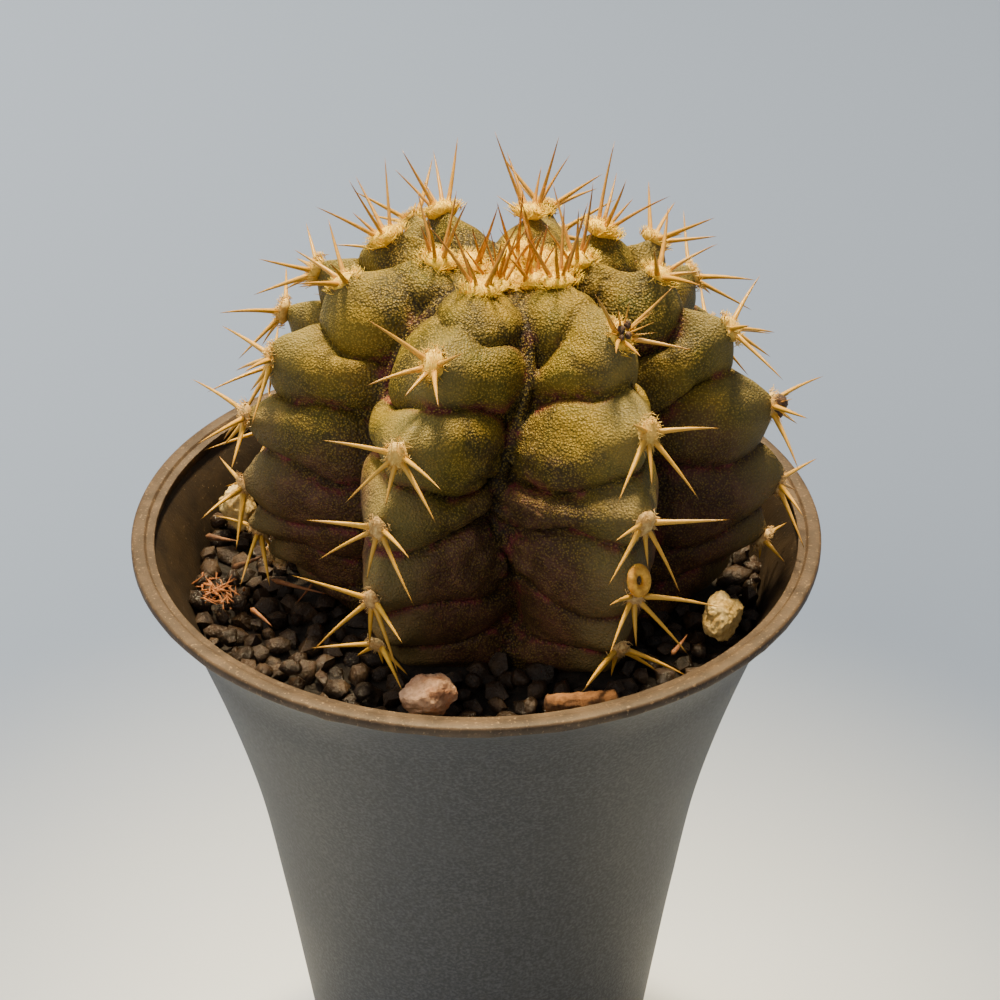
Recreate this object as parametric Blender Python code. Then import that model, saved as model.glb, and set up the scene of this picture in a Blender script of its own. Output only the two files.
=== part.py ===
"""A potted chin cactus: a ribbed, flattened stem with wool and spines, in granular soil, in a flared pot.

Metres, +Z up. The origin is on the surface that the pot stands on, under the middle of the pot.
-Y is the front, and a rib's azimuth is counted from the front towards +X.
"""

import math
import random

import bmesh
import bpy
import numpy as np
from mathutils import Matrix, Vector

MM = 0.001
GAP = 0.35 * MM

# The pot, a turned flared shell
POT_HEIGHT = 98.0 * MM
RIM_RADIUS = 47.5 * MM
RIM_LIP_WIDTH = 3.2 * MM
RIM_FACE_HEIGHT = 1.5 * MM
LIP_GROOVE_DEPTH = 0.4 * MM
WALL = 1.5 * MM
FLOOR_Z = 5.0 * MM
FLOOR_THICKNESS = 1.8 * MM
FOOT_RADIUS = 24.6 * MM
# Depth below the rim and outer radius, where the flare bends
FLARE = (
    (1.5, 46.9),
    (3.5, 44.9),
    (8.0, 42.1),
    (15.0, 39.7),
    (25.0, 36.6),
    (40.0, 32.8),
    (60.0, 29.6),
    (80.0, 26.9),
)
POT_SIDES = 40
DRAIN_COUNT = 5
DRAIN_RADIUS = 3.2 * MM
DRAIN_CIRCLE = 14.0 * MM

# The stem
STEM_X = 4.4 * MM
STEM_Y = 1.5 * MM
EQUATOR_Z = POT_HEIGHT + 8.0 * MM
STEM_RADIUS = 35.3 * MM
RISE = 33.0 * MM
DROP = 25.0 * MM
ROUNDNESS = 2.3
CROWN_DIMPLE = 4.5 * MM
CROWN_DIMPLE_RADIUS = 8.0 * MM
FURROW_DEPTH = 0.36
FLANK_POWER = 1.16
CREST_NOTCH = 2.2 * MM
FLANK_NOTCH = 3.6 * MM
TUBERCLE_POWER = 2.2
TOE = 0.94
TOE_POWER = 6
CHIN = 1.7 * MM
CHIN_WIDTH = 0.26
CREASE_BELOW_AREOLE = 0.45
ROOT_RADIUS = 6.0 * MM
ROOT_TIP_RADIUS = 2.2 * MM
ROOT_LENGTH = 24.0 * MM

# Each rib: azimuth at the crown and at the base, reach, lift at the crown, how its creases slope on
# the left and right flank at the crown and at the base, and the polar angles of its areoles
RIBS = (
    dict(top=-22, base=-30, reach=0.99, lift=0.0, left=(0.5, 0.1), right=(0.9, 0.0), areoles=(13, 38, 60, 77, 92, 109)),
    dict(top=45, base=24, reach=1.00, lift=0.5, left=(1.1, 0.0), right=(0.6, 0.2), areoles=(12, 34, 57, 76, 90, 107)),
    dict(top=82, base=82, reach=1.03, lift=1.0, left=(0.8, 0.1), right=(0.6, 0.0), areoles=(11, 29, 50, 72, 90, 108)),
    dict(top=122, base=126, reach=1.00, lift=1.0, left=(0.7, 0.2), right=(0.9, 0.1), areoles=(21, 38, 57, 75, 93, 110)),
    dict(top=167, base=167, reach=1.00, lift=0.5, left=(0.8, 0.0), right=(0.5, 0.2), areoles=(19, 37, 56, 73, 90, 108)),
    dict(top=212, base=208, reach=1.02, lift=1.0, left=(0.6, 0.1), right=(0.9, 0.0), areoles=(25, 43, 60, 77, 94, 110)),
    dict(top=248, base=244, reach=1.04, lift=1.0, left=(0.8, 0.2), right=(0.7, 0.1), areoles=(25, 48, 65, 81, 96, 111)),
    dict(top=276, base=276, reach=1.01, lift=0.5, left=(0.7, 0.1), right=(0.6, -0.2), areoles=(12, 33, 60, 76, 92, 107, 118)),
)
CROWN_AREOLES = 5
CROWN_AREOLE_ANGLE = math.radians(6)
SEGMENTS_A_RIB = 8
STEM_ROWS = 44
BURIED_ANGLE = 128
BURIED_ROWS = 6

# Wool pads and spines
PAD_LENGTH = 2.5 * MM
PAD_WIDTH = 1.6 * MM
PAD_RISE = 0.9 * MM
SPINE_LENGTH = 9.8 * MM
SPINE_ROOT_RADIUS = 0.42 * MM
SPINE_SUNK = 1.0 * MM
SPINE_SIDES = 3
# Direction of each spine round its areole, 0 towards the base and positive to the right, its tilt
# away from the skin, and its share of the full length
RADIAL_SPINES = ((0, 28, 0.62), (48, 26, 0.98), (-50, 24, 0.95), (108, 30, 1.0), (-106, 32, 1.05))

# The soil, a plug with granules in relief on its top
SOIL_TOP = POT_HEIGHT - 8.0 * MM
SOIL_GAP = GAP
GRANULE = 4.6 * MM
GRANULE_RISE = 2.0 * MM
SOIL_SEGMENTS = 112
SOIL_RINGS = 7
HOLE_GAP = 0.5 * MM
HOLE_HEAD = 2.6 * MM

# Loose pieces that lie on the soil: place, half sizes, turn and colour
PEBBLES = {
    "pebble_cream": dict(at=(34.0, -15.5), half=(2.3, 3.4, 2.4), turn=-20, colour=(0.78, 0.66, 0.45)),
    "pebble_pink": dict(at=(-5.8, -34.5), half=(3.1, 2.6, 2.3), turn=15, colour=(0.72, 0.48, 0.38)),
    "pebble_yellow": dict(at=(-34.0, 9.5), half=(2.4, 2.7, 2.5), turn=40, colour=(0.75, 0.6, 0.3)),
}
BARK = dict(at=(13.6, -35.4), length=9.6, radius=1.45, turn=7, colour=(0.35, 0.16, 0.05))

GREEN = (0.16, 0.18, 0.07)
SPINE_TAN = (0.72, 0.45, 0.18)
POT_GREY = (0.09, 0.09, 0.095)
SOIL_BROWN = (0.05, 0.038, 0.028)


def clear_scene():
    for obj in list(bpy.data.objects):
        bpy.data.objects.remove(obj, do_unlink=True)


def material(name, colour, roughness):
    made = bpy.data.materials.new(name)
    made.use_nodes = True
    shader = made.node_tree.nodes["Principled BSDF"]
    shader.inputs["Base Color"].default_value = (*colour, 1)
    shader.inputs["Roughness"].default_value = roughness
    shader.inputs["Metallic"].default_value = 0
    return made


def add_object(name, bm, finish=None, smooth_angle=None):
    mesh = bpy.data.meshes.new(name)
    bm.to_mesh(mesh)
    bm.free()
    obj = bpy.data.objects.new(name, mesh)
    bpy.context.scene.collection.objects.link(obj)
    if finish:
        mesh.materials.append(finish)
    if smooth_angle:
        mesh.shade_smooth()
        mesh.set_sharp_from_angle(angle=smooth_angle)
    return obj


def apply_modifiers(obj):
    """Bakes the object's modifiers into its mesh."""
    graph = bpy.context.evaluated_depsgraph_get()
    baked = bpy.data.meshes.new_from_object(obj.evaluated_get(graph))
    obj.modifiers.clear()
    obj.data = baked


def smooth_step(x):
    x = np.clip(x, 0.0, 1.0)
    return x * x * (3 - 2 * x)


# The pot
def spun(profile, sides):
    """A closed ring of (radius, height) points turned about Z into a solid."""
    bm = bmesh.new()
    verts = [bm.verts.new((r, 0, z)) for r, z in profile]
    edges = [bm.edges.new((a, b)) for a, b in zip(verts, verts[1:])]
    bmesh.ops.spin(
        bm,
        geom=verts + edges,
        axis=(0, 0, 1),
        cent=(0, 0, 0),
        angle=2 * math.pi,
        steps=sides,
        use_merge=True,
        use_duplicate=False,
    )
    bmesh.ops.remove_doubles(bm, verts=bm.verts, dist=0.01 * MM)
    bmesh.ops.recalc_face_normals(bm, faces=bm.faces)
    return bm


def pot_outside():
    """Outer (radius, height) points from the rim face down to the foot."""
    flare = [(radius * MM, POT_HEIGHT - depth * MM) for depth, radius in FLARE]
    return [(RIM_RADIUS, POT_HEIGHT - RIM_FACE_HEIGHT), *flare, (FOOT_RADIUS, 0.0)]


def pot_inner_radius(z):
    """Radius of the pot's inner wall at a height."""
    outside = pot_outside()[1:]
    radii = [r for r, _ in reversed(outside)]
    heights = [h for _, h in reversed(outside)]
    return float(np.interp(z, heights, radii)) - WALL


def pot_profile():
    lip_inner = RIM_RADIUS - RIM_LIP_WIDTH
    groove = RIM_RADIUS - 0.6 * RIM_LIP_WIDTH
    top = POT_HEIGHT
    inside = [(pot_inner_radius(h), h) for _, h in pot_outside()[2:-1] if h > FLOOR_Z + FLOOR_THICKNESS]
    floor_top = FLOOR_Z + FLOOR_THICKNESS
    foot_inner = FOOT_RADIUS - 2 * WALL
    return [
        (0, FLOOR_Z),
        (foot_inner, FLOOR_Z),
        (foot_inner, 0),
        *reversed(pot_outside()),
        (RIM_RADIUS, top),
        (groove, top),
        (groove - 0.3 * MM, top - LIP_GROOVE_DEPTH),
        (lip_inner, top - LIP_GROOVE_DEPTH),
        *inside,
        (pot_inner_radius(floor_top), floor_top),
        (0, floor_top),
    ]


def make_pot(finish):
    pot = add_object("pot", spun(pot_profile(), POT_SIDES), finish, math.radians(35))
    drains = bmesh.new()
    for i in range(DRAIN_COUNT):
        angle = 2 * math.pi * i / DRAIN_COUNT
        place = Vector((DRAIN_CIRCLE * math.cos(angle), DRAIN_CIRCLE * math.sin(angle), FLOOR_Z))
        bmesh.ops.create_cone(
            drains,
            cap_ends=True,
            segments=12,
            radius1=DRAIN_RADIUS,
            radius2=DRAIN_RADIUS,
            depth=3 * FLOOR_THICKNESS,
            matrix=Matrix.Translation(place),
        )
    cutter = add_object("drain_cutter", drains)
    cut = pot.modifiers.new("drains", "BOOLEAN")
    cut.operation = "DIFFERENCE"
    cut.object = cutter
    apply_modifiers(pot)
    bpy.data.objects.remove(cutter)
    pot.data.shade_smooth()
    pot.data.set_sharp_from_angle(angle=math.radians(35))
    return pot


# The stem's surface
def crease_angles(rib, q):
    """Polar angles at q of the creases between tubercles, which slope down from the crest near the crown."""
    spots = np.radians(rib["areoles"])
    steps = np.diff(spots)
    steps = np.append(steps, steps[-1])
    first = spots[0] - 0.6 * steps[0]
    creases = np.concatenate([[first], spots + CREASE_BELOW_AREOLE * steps, [spots[-1] + 1.6 * steps[-1]]])
    old = np.clip(creases / math.radians(100), 0, 1)
    left, right = [top + (base - top) * old for top, base in (rib["left"], rib["right"])]
    creases, left, right = [a.reshape((-1,) + (1,) * np.ndim(q)) for a in (creases, left, right)]
    return creases + np.where(q < 0, left, right) * np.abs(q) * steps.mean()


def rib_azimuth(index, theta):
    """Azimuth of a rib's crest in radians, which may twist from crown to base."""
    rib = RIBS[index % len(RIBS)]
    turns = 2 * math.pi * (index // len(RIBS))
    return turns + np.radians(rib["top"] + (rib["base"] - rib["top"]) * smooth_step(theta / math.pi * 1.6))


def flank(q):
    """How far the rib stands at q, from 0 in the furrow at q = -1 and 1 to 1 on the crest at 0."""
    away = np.clip(np.abs(q), 0, 1)
    return (1 - away**FLANK_POWER) ** (1 / FLANK_POWER)


def tubercle(rib, q, theta):
    """Pillow height, 0 in a crease and 1 in the middle of a tubercle, and its chin under the areole."""
    creases = crease_angles(rib, q)
    j = np.clip((theta >= creases).sum(axis=0) - 1, 0, len(creases) - 2)[None]
    above, below = [np.take_along_axis(creases, j + i, axis=0)[0] for i in (0, 1)]
    along = np.clip((theta - above) / (below - above), 0, 1)
    inside = (theta > creases[0]) & (theta < creases[-1])
    edge = np.abs(2 * along - 1) ** TUBERCLE_POWER + (np.abs(q) / TOE) ** TOE_POWER
    pillow = (1 - np.clip(edge, 0, 1)) ** (1 / TUBERCLE_POWER)
    chin = np.exp(-(((along - 0.5) / 0.27) ** 2) - (q / CHIN_WIDTH) ** 2)
    return np.where(inside, pillow, 0.0), np.where(inside, chin, 0.0)


def stem_points(index, q, theta):
    """Points of the skin for a rib, a place q across it and polar angles theta, as an array."""
    q, theta = np.broadcast_arrays(np.asarray(q, float), np.asarray(theta, float))
    rib = RIBS[index]
    bend = 2 / ROUNDNESS
    across = np.abs(np.sin(theta)) ** bend
    along = np.sign(np.cos(theta)) * np.abs(np.cos(theta)) ** bend
    height = EQUATOR_Z + np.where(along > 0, RISE, DROP) * along
    shown = smooth_step((height - SOIL_TOP + 8.0 * MM) / (14.0 * MM))
    side = flank(q)
    depth = FURROW_DEPTH * shown
    radius = STEM_RADIUS * across * (1 - depth * (1 - side)) * (1 + (rib["reach"] - 1) * side)
    above = smooth_step(1 - theta / (0.45 * math.pi))
    height = height + rib["lift"] * MM * above * side * across
    young = smooth_step(theta / math.radians(30))
    pillow, chin = tubercle(rib, q, theta)
    notch = CREST_NOTCH + (FLANK_NOTCH - CREST_NOTCH) * smooth_step(2.5 * np.abs(q))
    notch = notch * smooth_step(5 * (1.02 - np.abs(q))) * (0.3 + 0.7 * young) * shown
    bump = notch * (pillow - 1) + CHIN * (chin - 0.6) * young * shown
    radius = radius + bump * np.sin(theta)
    height = height + bump * np.cos(theta) * np.where(along > 0, 1, 0.4)
    radius = np.maximum(radius, 0)
    height = height - CROWN_DIMPLE * np.exp(-((radius / CROWN_DIMPLE_RADIUS) ** 2)) * (theta < math.pi / 2)
    here = rib_azimuth(index, theta)
    before = (here + rib_azimuth(index + len(RIBS) - 1, theta) - 2 * math.pi) / 2
    after = (here + rib_azimuth(index + 1, theta)) / 2
    if index == 0:
        before = (here + rib_azimuth(len(RIBS) - 1, theta) - 2 * math.pi) / 2
    azimuth = here + np.where(q < 0, (here - before) * q, (after - here) * q)
    return np.stack(
        [STEM_X + radius * np.sin(azimuth), STEM_Y - radius * np.cos(azimuth), height],
        axis=-1,
    )


def stem_frame(index, theta, q=0.0):
    """Place on the skin, outward normal and the way down along the rib."""
    step = 0.02
    down = stem_points(index, q, theta + step) - stem_points(index, q, theta - step)
    wide = stem_points(index, q + 0.12, theta) - stem_points(index, q - 0.12, theta)
    down, wide = Vector(down).normalized(), Vector(wide).normalized()
    normal = down.cross(wide).normalized()
    place = Vector(stem_points(index, q, theta))
    if normal.dot(place - Vector((STEM_X, STEM_Y, EQUATOR_Z - 5 * MM))) < 0:
        normal.negate()
    return place, normal, (down - normal * down.dot(normal)).normalized()


def row_angle(share, rib, q):
    """Polar angle of a row, which is pulled into the nearest crease."""
    rows = (0, STEM_ROWS - BURIED_ROWS, STEM_ROWS)
    angle = float(np.interp(share * STEM_ROWS, rows, np.radians((0, BURIED_ANGLE, 180))))
    if angle == 0 or share * STEM_ROWS > STEM_ROWS - BURIED_ROWS:
        return angle
    creases = crease_angles(RIBS[rib], q)
    nearest = creases[np.argmin(np.abs(creases - angle))]
    half_row = math.radians(BURIED_ANGLE) / (STEM_ROWS - BURIED_ROWS) / 2
    return nearest if abs(nearest - angle) < half_row and nearest > half_row else angle


def stem_core():
    """A turned sphere whose vertices are moved onto the ribbed skin, with the root drawn out below."""
    segments = SEGMENTS_A_RIB * len(RIBS)
    bm = bmesh.new()
    bmesh.ops.create_uvsphere(bm, u_segments=segments, v_segments=STEM_ROWS, radius=1)
    for vert in bm.verts:
        polar = math.acos(max(-1, min(1, vert.co.z)))
        turn = math.atan2(vert.co.x, -vert.co.y) % (2 * math.pi)
        place = turn / (2 * math.pi) * segments
        index = int(round(place)) % segments
        rib = ((index + SEGMENTS_A_RIB // 2) // SEGMENTS_A_RIB) % len(RIBS)
        q = (index + SEGMENTS_A_RIB // 2) % SEGMENTS_A_RIB / SEGMENTS_A_RIB * 2 - 1
        vert.co = stem_points(rib, q, row_angle(polar / math.pi, rib, q))
    return bm


def root():
    bm = bmesh.new()
    bottom = EQUATOR_Z - DROP
    bmesh.ops.create_cone(
        bm,
        cap_ends=True,
        segments=12,
        radius1=ROOT_TIP_RADIUS,
        radius2=ROOT_RADIUS,
        depth=ROOT_LENGTH,
        matrix=Matrix.Translation((STEM_X, STEM_Y, bottom + 3 * MM - ROOT_LENGTH / 2)),
    )
    return bm


# Wool and spines
def pad(place, normal, down, size):
    """A low woolly cushion that lies along the rib."""
    bm = bmesh.new()
    bmesh.ops.create_icosphere(bm, subdivisions=1, radius=1)
    wide = down.cross(normal)
    turn = Matrix((wide, down, normal)).transposed().to_4x4()
    scale = Matrix.Diagonal((PAD_WIDTH * size, PAD_LENGTH * size, PAD_RISE * size, 1))
    bmesh.ops.transform(bm, matrix=Matrix.Translation(place) @ turn @ scale, verts=bm.verts)
    return bm


def spine(root_point, direction, length):
    """A slim pointed needle, its root sunk in the skin."""
    bm = bmesh.new()
    turn = direction.to_track_quat("Z", "Y").to_matrix().to_4x4()
    reach = length + SPINE_SUNK
    start = root_point - direction * SPINE_SUNK
    bmesh.ops.create_cone(
        bm,
        cap_ends=True,
        segments=SPINE_SIDES,
        radius1=SPINE_ROOT_RADIUS,
        radius2=0,
        depth=reach,
        matrix=Matrix.Translation(start + direction * reach / 2) @ turn,
    )
    bmesh.ops.remove_doubles(bm, verts=bm.verts, dist=0.001 * MM)
    return bm


def clear_length(foot, direction, length):
    """The length at which a spine stays clear of the soil and of the pot, or 0 where none does."""
    for share in (1.0, 0.95, 0.9, 0.85, 0.8, 0.75, 0.7, 0.6, 0.5):
        tip = foot + direction * length * share
        over_rim = tip.z > POT_HEIGHT + 1.5 * MM
        wall = RIM_RADIUS if over_rim else pot_inner_radius(tip.z) - 1.2 * MM
        if tip.z > SOIL_TOP + 2.4 * MM and math.hypot(tip.x, tip.y) < wall:
            return length * share
    return 0


def areole(index, theta, rng, size, upright, reach):
    """The pad and spines of one areole, as a list of meshes."""
    place, normal, down = stem_frame(index, theta)
    right = down.cross(normal)
    made = [pad(place, normal, down, size)]
    for turn, tilt, share in RADIAL_SPINES:
        turn = math.radians(turn + rng.uniform(-12, 12))
        tilt = math.radians(min(tilt + upright + rng.uniform(-7, 9), 82))
        flat = down * math.cos(turn) + right * math.sin(turn)
        direction = (flat * math.cos(tilt) + normal * math.sin(tilt)).normalized()
        length = SPINE_LENGTH * share * rng.uniform(0.85, 1.1) * reach
        foot = place + flat * 0.5 * PAD_WIDTH * size + normal * 0.2 * MM
        length = clear_length(foot, direction, length)
        if length:
            made.append(spine(foot, direction, length))
    return made


def crown(rng):
    """The young areoles round the dimple of the crown, with their spines standing up."""
    made = []
    for i in range(CROWN_AREOLES):
        index = i * len(RIBS) // CROWN_AREOLES
        place, normal, down = stem_frame(index, CROWN_AREOLE_ANGLE)
        side = down.cross(normal)
        made.append(pad(place, normal, down, 0.9))
        for lean in (-38, 4, 40):
            turn = math.radians(lean + rng.uniform(-10, 10))
            direction = down * 0.35 * rng.uniform(-0.6, 1.2) + side * math.sin(turn) * 0.7
            direction = (direction + Vector((0, 0, 1))).normalized()
            foot = place + side * 0.9 * MM * math.sin(turn) - down * 0.6 * MM
            made.append(spine(foot, direction, SPINE_LENGTH * rng.uniform(0.9, 1.25)))
    return made


def make_cactus(finish):
    rng = random.Random(7)
    cactus = add_object("cactus", stem_core(), finish)
    meshes = [root(), *crown(rng)]
    for index, rib in enumerate(RIBS):
        for k, angle in enumerate(rib["areoles"]):
            upright = 36 if k == 0 else 14 if k == 1 else 0
            reach = 1.25 if k == 0 else 1.0
            size = 1.0 if k < 4 else 0.8
            meshes += areole(index, math.radians(angle), rng, size, upright, reach)
    parts = bpy.data.collections.new("wool_and_spines")
    bpy.context.scene.collection.children.link(parts)
    for i, bm in enumerate(meshes):
        part = add_object(f"part_{i}", bm, finish)
        bpy.context.scene.collection.objects.unlink(part)
        parts.objects.link(part)
    join = cactus.modifiers.new("join", "BOOLEAN")
    join.operation = "UNION"
    join.operand_type = "COLLECTION"
    join.collection = parts
    join.solver = "MANIFOLD"
    apply_modifiers(cactus)
    for part in list(parts.objects):
        bpy.data.objects.remove(part)
    bpy.data.collections.remove(parts)
    cactus.data.shade_smooth()
    cactus.data.set_sharp_from_angle(angle=math.radians(50))
    return cactus


# The soil
def stem_outline(angles):
    """Radius of the stem about its axis where it goes into the soil, in directions counted from +X."""
    thetas = np.radians(np.arange(90, 180, 1.5))
    found = []
    for index in range(len(RIBS)):
        for q in np.linspace(-1, 1, SEGMENTS_A_RIB, endpoint=False):
            points = stem_points(index, q, thetas)
            low = points[points[:, 2] < SOIL_TOP + HOLE_HEAD]
            away = np.hypot(low[:, 0] - STEM_X, low[:, 1] - STEM_Y)
            widest = low[np.argmax(away)]
            turn = math.atan2(widest[1] - STEM_Y, widest[0] - STEM_X)
            found.append((turn, away.max()))
    turns, radii = np.array(sorted(found)).T
    return np.interp(angles, turns, radii, period=2 * math.pi)


def granule_centres():
    """Centres and sizes of the granules of the relief, set out on jittered rings."""
    rng = random.Random(11)
    centres = []
    inner, outer = 20 * MM, pot_inner_radius(SOIL_TOP)
    rings = round((outer - inner) / GRANULE) + 1
    for ring in range(rings):
        radius = inner + (outer - inner) * ring / (rings - 1)
        count = round(2 * math.pi * radius / GRANULE)
        for i in range(count):
            angle = 2 * math.pi * (i + 0.5 * (ring % 2) + rng.uniform(-0.22, 0.22)) / count
            r = radius + rng.uniform(-0.18, 0.18) * GRANULE
            centres.append((r * math.cos(angle), r * math.sin(angle), rng.uniform(0.55, 1.0)))
    return np.array(centres)


def soil_relief(x, y, centres):
    """Height of the granules over the soil's level at a point."""
    away = np.hypot(centres[:, 0] - x, centres[:, 1] - y) / (0.53 * GRANULE)
    domes = np.sqrt(np.clip(1 - away**2, 0, 1)) * centres[:, 2]
    rise = GRANULE_RISE * float(domes.max())
    for seat in [*(p for p in PEBBLES.values()), BARK]:
        reach = seat.get("length", 5.0) * 0.5 * MM + 2.4 * MM
        near = math.hypot(x - seat["at"][0] * MM, y - seat["at"][1] * MM)
        rise *= float(smooth_step((near - 0.55 * reach) / (0.45 * reach)))
    return rise


def soil_rings():
    """Rings of points over the soil's skin: up the wall, over the top, down the hole and down the root."""
    angles = 2 * math.pi * np.arange(SOIL_SEGMENTS) / SOIL_SEGMENTS
    round_ring = np.stack([np.cos(angles), np.sin(angles)], axis=-1)
    stem = np.array((STEM_X, STEM_Y))
    bottom = FLOOR_Z + FLOOR_THICKNESS + GAP
    rings = []
    bends = [h for _, h in reversed(pot_outside()) if bottom + MM < h < SOIL_TOP - MM]
    for z in (bottom, *bends, SOIL_TOP):
        rings.append((round_ring * (pot_inner_radius(z) - SOIL_GAP), z, 0))
    wall = rings.pop()[0]
    hole = round_ring * (stem_outline(angles) + HOLE_GAP)[:, None] + stem
    for i in range(SOIL_RINGS + 1):
        share = i / SOIL_RINGS
        rings.append((wall * (1 - share) + hole * share, SOIL_TOP, min(1, 3 * (1 - share))))
    stem_bottom = EQUATOR_Z - DROP - HOLE_GAP
    root_hole = round_ring * (ROOT_RADIUS + HOLE_GAP) + stem
    rings.append((hole, stem_bottom, 0))
    rings.append((root_hole, stem_bottom, 0))
    rings.append((root_hole, EQUATOR_Z - DROP + 3 * MM - ROOT_LENGTH - GAP, 0))
    return rings


def make_soil(finish):
    centres = granule_centres()
    bm = bmesh.new()
    rings = []
    for places, z, relief in soil_rings():
        ring = []
        for x, y in places:
            up = relief * soil_relief(x, y, centres) if relief else 0
            ring.append(bm.verts.new((x, y, z + up)))
        rings.append(ring)
    for a, b in zip(rings, rings[1:]):
        for i in range(SOIL_SEGMENTS):
            j = (i + 1) % SOIL_SEGMENTS
            bm.faces.new((a[i], a[j], b[j], b[i]))
    bm.faces.new(list(reversed(rings[0])))
    bm.faces.new(rings[-1])
    bmesh.ops.recalc_face_normals(bm, faces=bm.faces)
    return add_object("soil", bm, finish, math.radians(40))


def make_pebble(name, spec):
    """A worn stone with a flat underside, resting on the soil."""
    rng = random.Random(name)
    bm = bmesh.new()
    bmesh.ops.create_icosphere(bm, subdivisions=2, radius=1)
    for vert in bm.verts:
        vert.co *= 1 + rng.uniform(-0.09, 0.09)
    half = Vector(spec["half"]) * MM
    sink = 0.6 * half.z
    place = Vector((spec["at"][0] * MM, spec["at"][1] * MM, SOIL_TOP + GAP + sink))
    turn = Matrix.Rotation(math.radians(spec["turn"]), 4, "Z")
    scale = Matrix.Diagonal((*half, 1))
    bmesh.ops.transform(bm, matrix=Matrix.Translation(place) @ turn @ scale, verts=bm.verts)
    cut = bmesh.ops.bisect_plane(
        bm,
        geom=bm.verts[:] + bm.edges[:] + bm.faces[:],
        plane_co=(0, 0, SOIL_TOP + GAP),
        plane_no=(0, 0, -1),
        clear_outer=True,
    )
    rim = [g for g in cut["geom_cut"] if isinstance(g, bmesh.types.BMEdge)]
    bmesh.ops.holes_fill(bm, edges=rim)
    bmesh.ops.recalc_face_normals(bm, faces=bm.faces)
    return add_object(name, bm, material(name, spec["colour"], 0.9), math.radians(50))


def make_bark():
    """A short piece of bark lying on the soil."""
    rng = random.Random(3)
    bm = bmesh.new()
    radius, length = BARK["radius"] * MM, BARK["length"] * MM
    sides = 10
    turn = Matrix.Rotation(math.radians(BARK["turn"]), 4, "Z") @ Matrix.Rotation(math.pi / 2, 4, "Y")
    place = Vector((BARK["at"][0] * MM, BARK["at"][1] * MM, SOIL_TOP + GAP + radius))
    bmesh.ops.create_cone(
        bm, cap_ends=True, segments=sides, radius1=radius, radius2=radius, depth=length
    )
    sides_edges = [e for e in bm.edges if abs(e.verts[0].co.z - e.verts[1].co.z) > length / 2]
    bmesh.ops.subdivide_edges(bm, edges=sides_edges, cuts=5, use_grid_fill=True)
    for vert in bm.verts:
        grow = 1 + rng.uniform(-0.14, 0.0)
        vert.co.x *= grow
        vert.co.y *= grow
    bmesh.ops.transform(bm, matrix=Matrix.Translation(place) @ turn, verts=bm.verts)
    return add_object("bark_piece", bm, material("bark", BARK["colour"], 0.95), math.radians(50))


def main():
    clear_scene()
    make_pot(material("pot", POT_GREY, 0.6))
    make_soil(material("soil", SOIL_BROWN, 0.95))
    make_cactus(material("stem", GREEN, 0.6))
    for name, spec in PEBBLES.items():
        make_pebble(name, spec)
    make_bark()


main()
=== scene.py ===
"""A potted chin cactus, dressed over its plain solids: skin, wool, spines, granular soil and a worn pot.

-Y is the front, and a rib's azimuth is counted from the front towards +X.
"""

import math
import random

import bmesh
import bpy
import numpy as np
from mathutils import Matrix, Vector, noise

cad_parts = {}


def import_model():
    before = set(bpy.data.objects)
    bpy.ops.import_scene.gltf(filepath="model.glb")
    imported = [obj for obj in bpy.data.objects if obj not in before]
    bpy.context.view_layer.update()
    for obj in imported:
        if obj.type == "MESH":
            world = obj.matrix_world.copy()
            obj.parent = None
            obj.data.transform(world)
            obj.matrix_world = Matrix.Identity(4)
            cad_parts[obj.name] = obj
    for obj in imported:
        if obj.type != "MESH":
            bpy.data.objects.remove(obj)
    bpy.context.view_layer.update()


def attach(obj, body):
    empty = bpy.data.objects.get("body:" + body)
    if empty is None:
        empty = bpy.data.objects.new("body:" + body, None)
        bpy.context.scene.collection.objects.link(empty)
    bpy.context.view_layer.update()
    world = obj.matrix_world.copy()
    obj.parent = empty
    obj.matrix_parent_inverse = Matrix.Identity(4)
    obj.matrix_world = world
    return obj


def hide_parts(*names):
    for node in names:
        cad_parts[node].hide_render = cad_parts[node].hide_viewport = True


MM = 0.001
MERGED = 0.005 * MM

# Sizes that the dressing shares with the solids
POT_HEIGHT = 98.0 * MM
RIM_RADIUS = 47.5 * MM
RIM_LIP_WIDTH = 3.2 * MM
WALL = 1.5 * MM
FLOOR_Z = 5.0 * MM
FLOOR_THICKNESS = 1.8 * MM
FOOT_RADIUS = 24.6 * MM

# The bends of the pot's side: how far each is under the rim, and its radius, in mm
FLARE = (
    (1.5, 46.9),
    (3.5, 44.9),
    (8.0, 42.1),
    (15.0, 39.7),
    (25.0, 36.6),
    (40.0, 32.8),
    (60.0, 29.6),
    (80.0, 26.9),
)

STEM_X = 4.4 * MM
STEM_Y = 1.5 * MM
EQUATOR_Z = POT_HEIGHT + 8.0 * MM
STEM_RADIUS = 35.3 * MM
RISE = 33.0 * MM
DROP = 25.0 * MM
ROUNDNESS = 2.3
CROWN_DIMPLE = 4.5 * MM
CROWN_DIMPLE_RADIUS = 8.0 * MM
FURROW_DEPTH = 0.36
FLANK_POWER = 1.16
TUBERCLE_POWER = 2.2
TOE = 0.94
TOE_POWER = 6
CHIN = 1.7 * MM
CHIN_WIDTH = 0.26
SOIL_TOP = POT_HEIGHT - 8.0 * MM

# The creases between tubercles: their depth on the crest and on the flanks, and where they lie,
# as shares of the step between areoles
CREST_NOTCH = 2.2 * MM
FLANK_NOTCH = 4.2 * MM
CREASE_ABOVE_FIRST = 0.6
CREASE_BELOW_AREOLE = 0.45
CREASE_BELOW_LAST = 1.6
CREASE_WANDER = 0.2
FURROW_WANDER = math.radians(4.5)

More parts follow.
